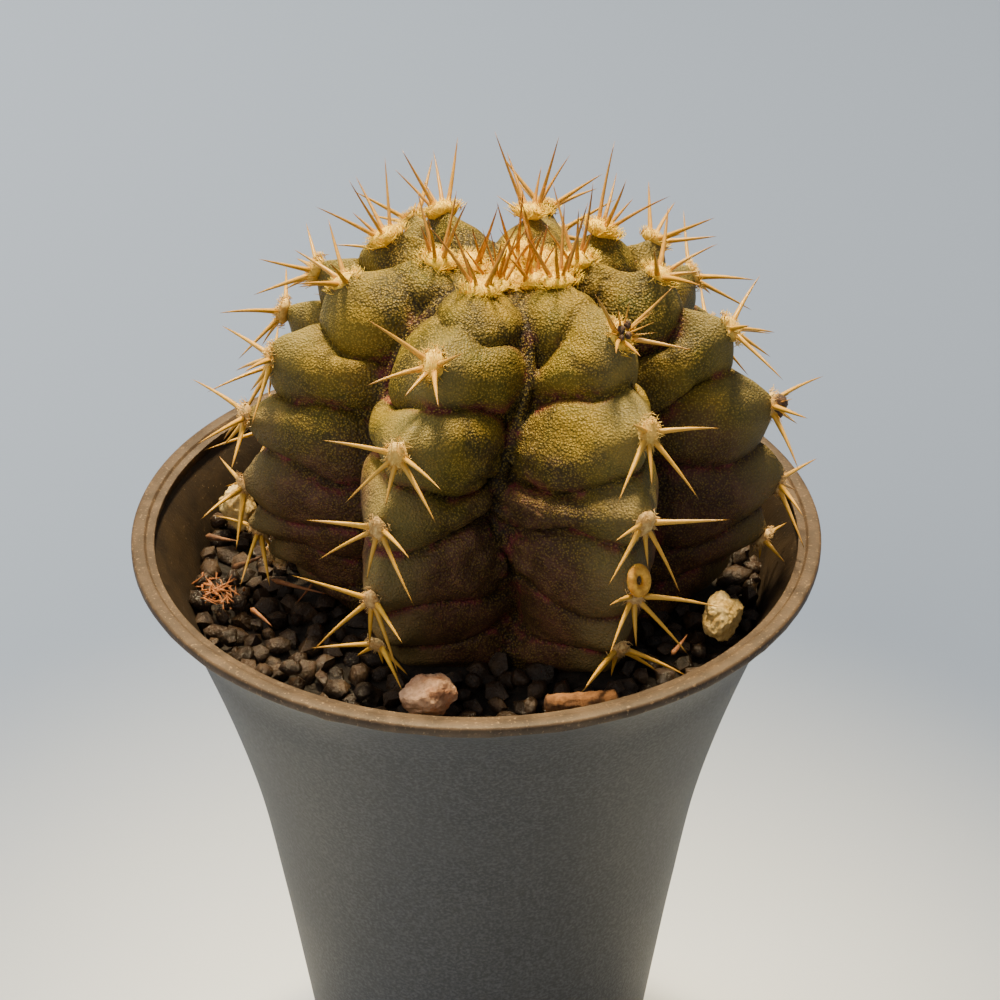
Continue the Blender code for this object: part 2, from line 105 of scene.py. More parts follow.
# Each rib: the azimuth of its crest at the crown and at the base, the share of the stem's radius
# that it reaches, how many mm higher it stands round the crown, the slope of its creases to the
# left and to the right, each at the crown and at the base, and the polar angles of its areoles
RIBS = (
    dict(
        top=-22, base=-30, reach=0.99, lift=0.0, left=(0.5, 0.1), right=(0.9, 0.0),
        areoles=(13, 38, 60, 77, 92, 109),
    ),
    dict(
        top=45, base=24, reach=1.00, lift=0.5, left=(1.1, 0.0), right=(0.6, 0.2),
        areoles=(12, 34, 57, 76, 90, 107),
    ),
    dict(
        top=82, base=82, reach=1.03, lift=1.0, left=(0.8, 0.1), right=(0.6, 0.0),
        areoles=(11, 29, 50, 72, 90, 108),
    ),
    dict(
        top=122, base=126, reach=1.00, lift=1.0, left=(0.7, 0.2), right=(0.9, 0.1),
        areoles=(21, 38, 57, 75, 93, 110),
    ),
    dict(
        top=167, base=167, reach=1.00, lift=0.5, left=(0.8, 0.0), right=(0.5, 0.2),
        areoles=(19, 37, 56, 73, 90, 108),
    ),
    dict(
        top=212, base=208, reach=1.02, lift=1.0, left=(0.6, 0.1), right=(0.9, 0.0),
        areoles=(25, 43, 60, 77, 94, 110),
    ),
    dict(
        top=248, base=244, reach=1.04, lift=1.0, left=(0.8, 0.2), right=(0.7, 0.1),
        areoles=(25, 48, 65, 81, 96, 111),
    ),
    dict(
        top=276, base=276, reach=1.01, lift=0.5, left=(0.7, 0.1), right=(0.6, -0.2),
        areoles=(12, 33, 60, 76, 92, 107, 118),
    ),
)

# How finely the skin is divided. The last rows, past the buried angle, are spread out wider
SEGMENTS_A_RIB = 44
STEM_ROWS = 250
BURIED_ROWS = 24
BURIED_ANGLE = 128
# Seeds the noise that bends the skin, which would take its seed from the clock
SKIN_SEED = 1795592607

NODULE_SIZE = 3.4 * MM
NODULE_HEIGHT = 1.7 * MM
NODULES_REACH = 7 * MM
NODULE_FLANK = 0.72

PAD_LENGTH = 2.4 * MM
PAD_WIDTH = 1.7 * MM
PAD_RISE = 1.1 * MM
SPINE_LENGTH = 9.8 * MM
SPINE_ROOT_RADIUS = 0.42 * MM

# Direction of each spine round its areole as seen from outside, in degrees clockwise from straight
# down the rib, its tilt away from the skin, and its share of the full length
RADIAL_SPINES = ((0, 28, 0.62), (48, 26, 0.98), (-50, 24, 0.95), (108, 30, 1.0), (-106, 32, 1.05))

# How the areoles change from the crown down a rib, the last row for all the lower ones: how much
# more upright their spines are in degrees, the length and thickness of these, and then the size,
# the extra width and the number of hairs of the wool pad
GROWTH = (
    dict(upright=36, reach=1.12, thick=0.8, pad=1.3, wide=1.3, hairs=230),
    dict(upright=14, reach=1.0, thick=0.95, pad=1.12, wide=1.0, hairs=190),
    dict(upright=0, reach=1.0, thick=0.95, pad=1.05, wide=1.0, hairs=150),
    dict(upright=0, reach=1.0, thick=0.95, pad=1.0, wide=1.0, hairs=110),
    dict(upright=0, reach=1.0, thick=0.95, pad=0.85, wide=1.0, hairs=110),
)

# Rib and areole with dried buds, and for each bud how far it is to the left of the areole, below
# it and over the skin, and its radius, in mm
DRIED_BUDS = (
    (
        1,
        1,
        ((-0.7, -0.9, 1.15, 0.55), (0.5, -0.4, 1.15, 0.62), (-0.2, 0.5, 1.15, 0.5), (0.9, 0.6, 1.15, 0.42)),
    ),
    (2, 3, ((0.0, -0.4, 0.9, 1.25), (0.3, 0.9, 1.15, 0.7))),
)
# Rib and areole that have short frayed spines as well, and the length of these in mm
FRAYED = ((1, 1, 4.5), (2, 3, 4.0))
# Radii in mm of the scar's ring and of its round section
SCAR_RING = (1.05, 0.62)

# Loose pieces on the soil, in mm and degrees. A pebble's place also seeds its shape
PEBBLES = {
    "pebble_cream": dict(
        at=(33.0, -16.9), half=(2.3, 3.4, 2.4), turn=-20, deep=(0.68, 0.43, 0.11), pale=(0.95, 0.70, 0.28)
    ),
    "pebble_pink": dict(
        at=(-5.8, -34.5), half=(3.1, 2.6, 2.3), turn=15, deep=(0.52, 0.24, 0.12), pale=(0.90, 0.55, 0.33)
    ),
    "pebble_yellow": dict(
        at=(-34.0, 9.5), half=(2.4, 2.7, 2.5), turn=40, deep=(0.50, 0.33, 0.10), pale=(0.80, 0.58, 0.22)
    ),
}
BARK = dict(at=(13.6, -35.4), length=9.6, radius=1.45, turn=7)

# Two layers of granules: the lowest and highest over the soil's top in mm, how near two may come
# as a share of both their sizes, and how finely each is divided
GRANULE_LAYERS = (
    dict(low=-2.0, high=-1.0, near=0.8, subdivisions=1),
    dict(low=-0.8, high=0.3, near=0.86, subdivisions=2),
)
GRANULE_TRIES = 12000
FULL_SIZE_GRANULES = 260
SMALLER = 0.75
# The polar angle of the skin just over the soil
STEM_AT_SOIL = math.radians(118)

# Both ends of each twig on the soil, in mm over the soil's top, its radius and how red it is
TWIGS = (
    ((-27.8, -7.1, 2.4), (-19.6, -11.6, 2.7), 0.42, 0.55),
    ((-22.5, -8.6, 2.6), (-24.5, -13.0, 2.2), 0.25, 0.5),
    ((-38.0, 4.5, 2.0), (-33.0, 1.5, 2.6), 0.55, 0.25),
    ((-33.5, -3.5, 2.2), (-28.0, -1.5, 2.8), 0.5, 0.2),
    ((-30.0, -14.5, 2.6), (-26.5, -18.0, 2.2), 0.45, 0.7),
    ((-6.0, -38.6, 1.6), (0.5, -38.4, 2.2), 0.35, 0.8),
    ((26.0, -24.0, 2.4), (29.0, -19.0, 2.6), 0.4, 0.6),
)
# A tangle of bark fibre: its middle and spread, how many fibres are tried, and how far from the
# pot's axis they may lie, in mm
TANGLE_AT = (-36.0, -9.6)
TANGLE_SPREAD = (1.5, 1.7)
TANGLE_TRIES = 70
TANGLE_INSIDE = 39.6

# The camera's distance from the middle of the rim, and where that middle is in the frame
RIM_TO_CAMERA = 332.5 * MM
CAMERA_ELEVATION = math.radians(32.4)
FOCAL_LENGTH = 86.43
SENSOR_WIDTH = 36
FRAME_PIXELS = 1000
RIM_IN_FRAME = (476.5, 518.0)


def smooth_step(x):
    x = np.clip(x, 0.0, 1.0)
    return x * x * (3 - 2 * x)


def clamp(x):
    return min(1.0, max(0.0, x))


# Shaders
class Shade:
    """A socket in a material, on which Python's operators build Math nodes."""

    def __init__(self, tree, socket):
        self.tree = tree
        self.socket = socket

    def math(self, operation, *values):
        return node(self.tree, "ShaderNodeMath", {"operation": operation}, dict(enumerate(values)))

    def __add__(self, other):
        return self.math("ADD", self, other)

    def __radd__(self, other):
        return self.math("ADD", other, self)

    def __sub__(self, other):
        return self.math("SUBTRACT", self, other)

    def __rsub__(self, other):
        return self.math("SUBTRACT", other, self)

    def __mul__(self, other):
        return self.math("MULTIPLY", self, other)

    def __rmul__(self, other):
        return self.math("MULTIPLY", other, self)

    def __truediv__(self, other):
        return self.math("DIVIDE", self, other)

    def __pow__(self, other):
        return self.math("POWER", self, other)

    def __abs__(self):
        return self.math("ABSOLUTE", self)

    def clamp(self):
        return self.math("MINIMUM", self.math("MAXIMUM", self, 0.0), 1.0)

    def step(self, low, high):
        """Runs smoothly from 0 at low to 1 at high."""
        settings = {"interpolation_type": "SMOOTHSTEP"}
        inputs = {"Value": self, "From Min": low, "From Max": high}
        return node(self.tree, "ShaderNodeMapRange", settings, inputs)


def node(tree, kind, settings=None, inputs=None, output=0):
    """Adds a node of any kind, sets it up and returns one of its outputs."""
    made = tree.nodes.new(kind)
    for key, value in (settings or {}).items():
        setattr(made, key, value)
    for key, value in (inputs or {}).items():
        if isinstance(value, Shade):
            tree.links.new(value.socket, made.inputs[key])
        else:
            made.inputs[key].default_value = value
    return Shade(tree, made.outputs[output])


class Finish:
    """A material, with the fields that its colours are made from."""

    def __init__(self, name, **fixed):
        self.material = bpy.data.materials.new(name)
        self.material.use_nodes = True
        self.tree = self.material.node_tree
        self.shader = self.tree.nodes["Principled BSDF"]
        for key, value in fixed.items():
            self.shader.inputs[key.replace("_", " ")].default_value = value
        self.place = node(self.tree, "ShaderNodeTexCoord", output="Object")
        self.bumps = None

    def noise(self, size, detail, rough, warp=0.0):
        """Noise from 0 to 1 whose features are about size across."""
        inputs = {
            "Vector": self.place,
            "Scale": 1 / size,
            "Detail": detail,
            "Roughness": rough,
            "Distortion": warp,
        }
        return node(self.tree, "ShaderNodeTexNoise", None, inputs)

    def cells(self, size):
        """Distance to the nearest of many points that lie about size apart."""
        return node(self.tree, "ShaderNodeTexVoronoi", None, {"Vector": self.place, "Scale": 1 / size})

    def attribute(self, name):
        return node(self.tree, "ShaderNodeAttribute", {"attribute_name": name}, output="Fac")

    def axis(self, name):
        return node(self.tree, "ShaderNodeSeparateXYZ", None, {"Vector": self.place}, name)

    def mix(self, share, a, b):
        """Colour a where share is 0 and colour b where it is 1."""
        a, b = [(*colour, 1) if isinstance(colour, tuple) else colour for colour in (a, b)]
        # The sockets of a Mix node share their names, so its colours go by number
        return node(self.tree, "ShaderNodeMix", {"data_type": "RGBA"}, {0: share, 6: a, 7: b}, 2)

    def bump(self, height, distance, strength=1.0):
        inputs = {"Height": height, "Distance": distance, "Strength": strength}
        if self.bumps:
            inputs["Normal"] = self.bumps
        self.bumps = node(self.tree, "ShaderNodeBump", None, inputs)

    def done(self, **varying):
        for key, value in varying.items():
            self.tree.links.new(value.socket, self.shader.inputs[key.replace("_", " ")])
        if self.bumps:
            self.tree.links.new(self.bumps.socket, self.shader.inputs["Normal"])
        return self.material


# Building pieces
def add_piece(name, bm, material, node_name):
    mesh = bpy.data.meshes.new(name)
    bm.to_mesh(mesh)
    bm.free()
    obj = bpy.data.objects.new(name, mesh)
    bpy.context.scene.collection.objects.link(obj)
    mesh.materials.append(material)
    mesh.shade_smooth()
    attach(obj, "root")
    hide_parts(node_name)
    return obj


def gather(parts):
    """One mesh from many small ones."""
    whole = bmesh.new()
    for part in parts:
        mesh = bpy.data.meshes.new("part")
        part.to_mesh(mesh)
        part.free()
        whole.from_mesh(mesh)
        bpy.data.meshes.remove(mesh)
    return whole


def set_layer(bm, name, values):
    layer = bm.verts.layers.float.new(name)
    for vert, value in zip(bm.verts, values):
        vert[layer] = float(value)


def spun(profile, sides):
    """A profile of radii and heights, turned once round the upright axis."""
    bm = bmesh.new()
    verts = [bm.verts.new((r, 0, z)) for r, z in profile]
    edges = [bm.edges.new((a, b)) for a, b in zip(verts, verts[1:])]
    bmesh.ops.spin(
        bm,
        geom=verts + edges,
        axis=(0, 0, 1),
        cent=(0, 0, 0),
        angle=2 * math.pi,
        steps=sides,
        use_merge=True,
        use_duplicate=False,
    )
    bmesh.ops.remove_doubles(bm, verts=bm.verts, dist=MERGED)
    bmesh.ops.recalc_face_normals(bm, faces=bm.faces)
    return bm


def lumpiness(place, shift, *layers):
    """Noise round 1 in layers, each given by its height and by how closely its lumps follow."""
    lump = 1.0
    for height, scale in layers:
        lump += height * noise.noise(place * scale + shift)
    return lump


# The pot
def pot_radius(z):
    """Outer radius of the pot at a height, on a smooth curve through the bends of its flare."""
    bends = [(radius * MM, POT_HEIGHT - depth * MM) for depth, radius in reversed(FLARE)]
    radii, heights = np.array([(FOOT_RADIUS, 0.0), *bends]).T
    slopes = np.gradient(radii, heights)
    i = int(np.clip(np.searchsorted(heights, z) - 1, 0, len(heights) - 2))
    span = heights[i + 1] - heights[i]
    t = float(np.clip((z - heights[i]) / span, 0, 1))
    blend = (2 * t**3 - 3 * t**2 + 1, t**3 - 2 * t**2 + t, 3 * t**2 - 2 * t**3, t**3 - t**2)
    terms = (radii[i], slopes[i] * span, radii[i + 1], slopes[i + 1] * span)
    return sum(a * b for a, b in zip(blend, terms))


def pot_profile():
    """The wall's section: under the floor, round the foot, up the outside, over the lip and back down."""
    top = POT_HEIGHT
    lip_inner = RIM_RADIUS - RIM_LIP_WIDTH
    groove = RIM_RADIUS - 0.6 * RIM_LIP_WIDTH
    flare_top = top - 1.6 * MM
    outside = [(pot_radius(z), z) for z in np.linspace(1.2 * MM, flare_top, 70)]
    inside_top = top - 2.2 * MM
    floor_top = FLOOR_Z + FLOOR_THICKNESS
    inside = [(pot_radius(z) - WALL, z) for z in np.linspace(inside_top, floor_top + 2 * MM, 50)]
    foot_inner = FOOT_RADIUS - 2 * WALL
    return [
        (0, FLOOR_Z),
        (foot_inner - 1 * MM, FLOOR_Z),
        (foot_inner, FLOOR_Z - 0.6 * MM),
        (foot_inner, 0.2 * MM),
        (foot_inner + 0.2 * MM, 0),
        (FOOT_RADIUS - 0.9 * MM, 0),
        (FOOT_RADIUS - 0.2 * MM, 0.3 * MM),
        *outside,
        (RIM_RADIUS - 0.35 * MM, top - 1.45 * MM),
        (RIM_RADIUS - 0.1 * MM, top - 1.3 * MM),
        (RIM_RADIUS, top - 1.1 * MM),
        (RIM_RADIUS, top - 0.35 * MM),
        (RIM_RADIUS - 0.12 * MM, top - 0.1 * MM),
        (RIM_RADIUS - 0.4 * MM, top),
        (groove + 0.25 * MM, top),
        (groove + 0.05 * MM, top - 0.08 * MM),
        (groove - 0.05 * MM, top - 0.34 * MM),
        (groove - 0.25 * MM, top - 0.42 * MM),
        (lip_inner + 0.35 * MM, top - 0.4 * MM),
        (lip_inner + 0.08 * MM, top - 0.5 * MM),
        (lip_inner, top - 0.8 * MM),
        *inside,
        (pot_radius(floor_top) - WALL - 2 * MM, floor_top),
        (0, floor_top),
    ]


def pot_finish():
    f = Finish("pot_plastic", Specular_IOR_Level=0.35)
    x, y, z = f.axis("X"), f.axis("Y"), f.axis("Z")
    radius = (x * x + y * y) ** 0.5
    speck = f.noise(0.45 * MM, 2, 0.6)
    smear = f.noise(16 * MM, 4, 0.6)
    scuff = f.noise(5 * MM, 5, 0.65, 0.6)
    grey = f.mix(speck.step(0.35, 0.75), (0.036, 0.036, 0.038), (0.084, 0.086, 0.089))
    grey = f.mix(smear.step(0.4, 0.8) * 0.3, grey, (0.085, 0.085, 0.084))
    # Painted light: the top of the lip is painted warm brown, unlike the grey side, for the warm lamp light
    # that falls on it; its tan specks are partly soil dust and partly painted highlights
    lip = f.mix(scuff.step(0.3, 0.75), (0.046, 0.028, 0.015), (0.110, 0.070, 0.038))
    lip = f.mix(speck.step(0.58, 0.75) * 0.6, lip, (0.34, 0.23, 0.12))
    over_seam = z + (scuff - 0.5) * 0.0016 - POT_HEIGHT + 1.75 * MM
    flash = (1 - abs(over_seam / (0.32 * MM))).clamp()
    # Painted shade: the inner wall and floor are painted darker than the grey outside, for the shade inside
    # the pot; their brown is partly soil dust and partly painted warm light
    inner = f.mix(scuff.step(0.3, 0.7), (0.011, 0.0065, 0.003), (0.028, 0.017, 0.0075))
    inner = f.mix(speck.step(0.66, 0.78) * 0.5, inner, (0.26, 0.18, 0.10))
    # The top of the rim, where the warm lamp light is painted in
    high = (z + (scuff - 0.5) * 0.0012).step(POT_HEIGHT - 1.9 * MM, POT_HEIGHT - 1.3 * MM)
    colour = f.mix(high, grey, lip)
    colour = f.mix(flash * scuff.step(0.42, 0.6) * radius.step(0.0452, 0.0458), colour, (0.46, 0.34, 0.20))
    colour = f.mix(f.attribute("inner"), colour, inner)
    shine = 0.46 + 0.16 * smear + 0.1 * speck
    f.bump(speck, 0.09 * MM, 0.7)
    f.bump(smear, 0.25 * MM, 0.25)
    return f.done(Base_Color=colour, Roughness=shine)


def inside_pot(place):
    """Whether a point of the pot is on its inner wall or on its floor."""
    low_enough = FLOOR_Z < place.z < POT_HEIGHT - 1.2 * MM
    return low_enough and math.hypot(place.x, place.y) < pot_radius(place.z) - 0.6 * MM


def make_pot():
    bm = spun(pot_profile(), 160)
    lip_low, lip_high = POT_HEIGHT - 1.8 * MM, POT_HEIGHT - 1.0 * MM
    for vert in bm.verts:
        if math.hypot(vert.co.x, vert.co.y) < 40 * MM or not lip_low < vert.co.z < lip_high:
            continue
        ragged = noise.noise(vert.co * 420) + 0.6 * noise.noise(vert.co * 1300)
        vert.co.z += min(0.0, ragged) * 0.35 * MM
    # Marks the inner wall and floor, where the finish paints the shade inside the pot
    set_layer(bm, "inner", [inside_pot(vert.co) for vert in bm.verts])
    pot = add_piece("pot_shell", bm, pot_finish(), "pot")
    pot.data.set_sharp_from_angle(angle=math.radians(50))


# The stem's surface
def crease_angles(rib, q):
    """Polar angles at q of the creases between tubercles, which slope down from the crest near the crown."""
    spots = np.radians(rib["areoles"])
    steps = np.diff(spots)
    steps = np.append(steps, steps[-1])
    first = spots[0] - CREASE_ABOVE_FIRST * steps[0]
    last = spots[-1] + CREASE_BELOW_LAST * steps[-1]
    creases = np.concatenate([[first], spots + CREASE_BELOW_AREOLE * steps, [last]])
    old = np.clip(creases / math.radians(100), 0, 1)
    left, right = [top + (base - top) * old for top, base in (rib["left"], rib["right"])]
    phase = 2.4 * np.arange(len(creases)) + math.radians(rib["top"]) * 3
    column = (-1,) + (1,) * np.ndim(q)
    creases, left, right, phase = [a.reshape(column) for a in (creases, left, right, phase)]
    wander = CREASE_WANDER * np.sin(3.4 * q + phase) * np.minimum(1, 2.5 * np.abs(q))
    return creases + (np.where(q < 0, left, right) * np.abs(q) + wander) * steps.mean()


def rib_azimuth(index, theta):
    """Azimuth of a rib's crest in radians, which may twist from crown to base."""
    rib = RIBS[index % len(RIBS)]
    turns = 2 * math.pi * (index // len(RIBS))
    return turns + np.radians(rib["top"] + (rib["base"] - rib["top"]) * smooth_step(theta / math.pi * 1.6))


def flank(q):
    """How far the rib stands at q, from 0 in the furrow at q = -1 and 1 to 1 on the crest at 0."""
    away = np.clip(np.abs(q), 0, 1)
    return (1 - away**FLANK_POWER) ** (1 / FLANK_POWER)


def tubercle(rib, q, theta):
    """Pillow height, 0 in a crease and 1 in the middle of a tubercle, and its chin under the areole."""
    creases = crease_angles(rib, q)
    j = np.clip((theta >= creases).sum(axis=0) - 1, 0, len(creases) - 2)[None]
    above, below = [np.take_along_axis(creases, j + i, axis=0)[0] for i in (0, 1)]
    along = np.clip((theta - above) / (below - above), 0, 1)
    inside = (theta > creases[0]) & (theta < creases[-1])
    edge = np.abs(2 * along - 1) ** TUBERCLE_POWER + (np.abs(q) / TOE) ** TOE_POWER
    pillow = (1 - np.clip(edge, 0, 1)) ** (1 / TUBERCLE_POWER)
    chin = np.exp(-(((along - 0.5) / 0.27) ** 2) - (q / CHIN_WIDTH) ** 2)
    return np.where(inside, pillow, 0.0), np.where(inside, chin, 0.0)


def stem_points(index, q, theta):
    """Points of the skin for a rib, a place q across it and polar angles theta, as an array."""
    q, theta = np.broadcast_arrays(np.asarray(q, float), np.asarray(theta, float))
    rib = RIBS[index]
    power = 2 / ROUNDNESS
    across = np.abs(np.sin(theta)) ** power
    along = np.sign(np.cos(theta)) * np.abs(np.cos(theta)) ** power
    height = EQUATOR_Z + np.where(along > 0, RISE, DROP) * along
    # The ribs fade out under the soil
    shown = smooth_step((height - SOIL_TOP + 8.0 * MM) / (14.0 * MM))
    side = flank(q)
    depth = FURROW_DEPTH * shown
    radius = STEM_RADIUS * across * (1 - depth * (1 - side)) * (1 + (rib["reach"] - 1) * side)
    above = smooth_step(1 - theta / (0.45 * math.pi))
    height = height + rib["lift"] * MM * above * side * across
    young = smooth_step(theta / math.radians(30))
    pillow, chin = tubercle(rib, q, theta)
    notch = CREST_NOTCH + (FLANK_NOTCH - CREST_NOTCH) * smooth_step(2.5 * np.abs(q))
    # Creases are shallow on the young tubercles of the crown, and again on the old ones at the soil
    grown = smooth_step((theta - math.radians(20)) / math.radians(28))
    worn = 1 - 0.6 * smooth_step((theta - math.radians(80)) / math.radians(12))
    notch = notch * smooth_step(5 * (1.02 - np.abs(q))) * (0.12 + 0.88 * grown) * worn * shown
    bump = notch * (pillow - 1) + CHIN * (chin - 0.6) * young * shown
    radius = radius + bump * np.sin(theta)
    height = height + bump * np.cos(theta) * np.where(along > 0, 1, 0.4)
    radius = np.maximum(radius, 0)
    height = height - CROWN_DIMPLE * np.exp(-((radius / CROWN_DIMPLE_RADIUS) ** 2)) * (theta < math.pi / 2)
    here = rib_azimuth(index, theta)
    before = (here + rib_azimuth(index + len(RIBS) - 1, theta) - 2 * math.pi) / 2
    after = (here + rib_azimuth(index + 1, theta)) / 2
    furrow = (index + np.where(q < 0, len(RIBS) - 1, 0)) % len(RIBS)
    sway = np.sin(5 * theta - 1.7 + 2.1 * furrow) * FURROW_WANDER * q * q * np.sin(theta)
    azimuth = here + np.where(q < 0, (here - before) * q, (after - here) * q) + sway
    return np.stack(
        [STEM_X + radius * np.sin(azimuth), STEM_Y - radius * np.cos(azimuth), height],
        axis=-1,
    )


def stem_frame(index, theta):
    """Place on a rib's crest, outward normal and the way down along the rib."""
    along, across = 0.03, 0.12
    down = stem_points(index, 0.0, theta + along) - stem_points(index, 0.0, theta - along)
    wide = stem_points(index, across, theta) - stem_points(index, -across, theta)
    down, wide = Vector(down).normalized(), Vector(wide).normalized()
    normal = down.cross(wide).normalized()
    place = Vector(stem_points(index, 0.0, theta))
    if normal.dot(place - Vector((STEM_X, STEM_Y, EQUATOR_Z - 5 * MM))) < 0:
        normal.negate()
    return place, normal, (down - normal * down.dot(normal)).normalized()


def furrow_nodules(place, side, polar):
    """Height of the small wrinkled lumps that fill the front furrow below its middle."""
    if side > NODULE_FLANK or place.y > STEM_Y or abs(place.x - STEM_X) > NODULES_REACH:
        return 0.0
    fade = clamp((polar - 0.33) / 0.04) * clamp((0.57 - polar) / 0.04)
    near, far = noise.voronoi(place / NODULE_SIZE)[0][:2]
    lump = min(1.0, (far - near) * 1.8)
    return fade * (lump**0.6) * NODULE_HEIGHT * (NODULE_FLANK - side) / NODULE_FLANK


def make_stem():
    """A sphere whose points are moved onto the skin, row by row and column by column."""
    segments = SEGMENTS_A_RIB * len(RIBS)
    bm = bmesh.new()
    bmesh.ops.create_uvsphere(bm, u_segments=segments, v_segments=STEM_ROWS, radius=1)
    rows = (0, STEM_ROWS - BURIED_ROWS, STEM_ROWS)
    pillows, sides, polars = [], [], []
    thetas = np.interp(np.arange(STEM_ROWS + 1), rows, np.radians((0, BURIED_ANGLE, 180)))
    table = {}
    for column in range(segments):
        ribs, over = divmod(column + SEGMENTS_A_RIB // 2, SEGMENTS_A_RIB)
        rib, q = ribs % len(RIBS), over / SEGMENTS_A_RIB * 2 - 1
        points = stem_points(rib, q, thetas)
        table[column] = (points, tubercle(RIBS[rib], np.full(len(thetas), q), thetas)[0], float(flank(q)))
    for vert in bm.verts:
        polar = math.acos(max(-1, min(1, vert.co.z)))
        row = int(round(polar / math.pi * STEM_ROWS))
        turn = math.atan2(vert.co.x, -vert.co.y) % (2 * math.pi)
        column = int(round(turn / (2 * math.pi) * segments)) % segments
        points, pillow, side = table[column]
        vert.co = Vector(points[row])
        pillows.append(pillow[row])
        sides.append(side)
        polars.append(thetas[row] / math.pi)
    bm.normal_update()
    noise.seed_set(SKIN_SEED)
    for vert, side, polar in zip(bm.verts, sides, polars):
        loose = 1 - math.exp(-((polar / 0.06) ** 2))
        ripple = noise.noise(vert.co * 190) * 0.6 + noise.noise(vert.co * 480) * 0.3
        vert.co += noise.noise_vector(vert.co * 48) * 1.2 * MM * loose
        vert.co += vert.normal * (ripple * 0.5 * MM * loose + furrow_nodules(vert.co, side, polar))
    set_layer(bm, "pillow", pillows)
    set_layer(bm, "side", sides)
    set_layer(bm, "polar", polars)
    return bm


def skin_finish():
    f = Finish("skin", Specular_IOR_Level=0.25)
    pillow, side, polar = f.attribute("pillow"), f.attribute("side"), f.attribute("polar")
    patch = f.noise(11 * MM, 4, 0.6)
    spots = f.noise(4 * MM, 4, 0.65)
    broad = f.noise(7 * MM, 3, 0.55, 0.4)
    grain = f.cells(0.31 * MM)
    olive = f.mix(patch.step(0.35, 0.65), (0.078, 0.060, 0.004), (0.205, 0.134, 0.008))
    olive = f.mix(spots.step(0.45, 0.75) * 0.5, olive, (0.058, 0.072, 0.007))
    olive = f.mix(broad.step(0.48, 0.64) * 0.8, olive, (0.034, 0.026, 0.007))
    purple = f.mix(spots.step(0.35, 0.7), (0.055, 0.023, 0.015), (0.135, 0.058, 0.038))
    age = (polar + (patch - 0.5) * 0.3 - side * 0.08).step(0.28, 0.44)
    colour = f.mix(age * 0.94, olive, purple)
    crest = side.step(0.66, 0.95) * pillow.step(0.2, 0.7) * (polar - 0.1).step(0.0, 0.12)
    colour = f.mix(crest * 0.5, colour, (0.235, 0.190, 0.065))
    # Painted shade: the skin darkens towards the furrows between the ribs
    colour = f.mix((1 - side).step(0.45, 1.0) * 0.6, colour, (0.028, 0.018, 0.006))
    blush = spots.step(0.47, 0.62) * (1 - pillow).step(0.25, 0.8) * (polar - 0.14).step(0.0, 0.1)
    colour = f.mix(blush * 0.8, colour, (0.28, 0.022, 0.055))
    # Painted shade: the skin darkens into the creases between the tubercles
    dark = (1 - pillow).clamp() ** 1.8
    colour = f.mix((dark * 0.75).clamp(), colour, (0.012, 0.007, 0.003))
    # Painted highlights on the points of the skin's fine grain, fewer on the crests and lower down the stem
    grain_highlights = (1 - grain * 1.5).clamp() ** 2.0
    shown = 1 - crest * 0.6
    colour = f.mix(grain_highlights * shown * (0.78 - 0.4 * age), colour, (0.64, 0.44, 0.065))
    colour = f.mix(f.noise(0.9 * MM, 3, 0.7).step(0.64, 0.8) * 0.2, colour, (0.46, 0.33, 0.10))
    f.bump(1 - grain, 0.16 * MM, 0.95)
    f.bump(spots, 0.5 * MM, 0.3)
    f.bump(f.noise(2.0 * MM, 4, 0.6, 1.4) * age, 0.7 * MM, 0.5)
    return f.done(Base_Color=colour, Roughness=0.46 + 0.2 * patch)


# Wool and spines
def pad_mesh(place, normal, down, size, rng, hairs, wide_by):
    """A woolly cushion: short hairs that stand every way on a low, uneven mound."""
    wide = down.cross(normal)
    turn = Matrix((wide, down, normal)).transposed().to_4x4()
    scale = Matrix.Diagonal((PAD_WIDTH * size * wide_by, PAD_LENGTH * size, PAD_RISE * size, 1))
    where = Matrix.Translation(place) @ turn @ scale
    mound = bmesh.new()
    bmesh.ops.create_icosphere(mound, subdivisions=2, radius=0.8)
    for vert in mound.verts:
        vert.co *= 1 + 0.3 * noise.noise(vert.co * 2.6 + place * 900)
    bmesh.ops.transform(mound, matrix=where, verts=mound.verts)
    tufts = bmesh.new()
    for _ in range(hairs):
        around = rng.uniform(0, 2 * math.pi)
        out = math.sqrt(rng.uniform(0, 1)) * 1.06
        flat = Vector((out * math.cos(around), out * math.sin(around), 0))
        up = math.sqrt(max(0.0, 1 - out * out)) * 0.8 - 0.1
        root = where @ (flat + Vector((0, 0, up)))
        away = (wide * flat.x + down * flat.y) * 0.7 + normal * rng.uniform(0.35, 1.0)
        away += (wide * rng.uniform(-1, 1) + down * rng.uniform(-1, 1)) * 0.8
        bmesh.ops.create_cone(
            tufts,
            cap_ends=True,
            segments=3,
            radius1=0.06 * MM,
            radius2=0.022 * MM,
            depth=rng.uniform(0.6, 1.35) * MM * size,
            matrix=Matrix.Translation(root) @ away.to_track_quat("Z", "Y").to_matrix().to_4x4(),
        )
    return [mound, tufts]


def spine_mesh(root, direction, bow, length, radius, sides=7, rows=9):
    """A curved, tapered needle with a swollen root; along runs from 0 at its root to 1 at its tip."""
    bm = bmesh.new()
    bmesh.ops.create_uvsphere(bm, u_segments=sides, v_segments=rows, radius=1)
    side = direction.orthogonal().normalized()
    other = direction.cross(side)
    along = []
    for vert in bm.verts:
        t = math.acos(max(-1, min(1, vert.co.z))) / math.pi
        ring = math.hypot(vert.co.x, vert.co.y)
        around = math.atan2(vert.co.y, vert.co.x)
        taper = (1 - t) ** 0.75 * (1 + 0.35 * math.exp(-((t / 0.09) ** 2)))
        thick = radius * taper if ring > 1e-4 else 0
        centre = root + direction * (length * t - 0.6 * MM) + bow * (t * t)
        vert.co = centre + (side * math.cos(around) + other * math.sin(around)) * thick
        along.append(t)
    set_layer(bm, "along", along)
    return bm


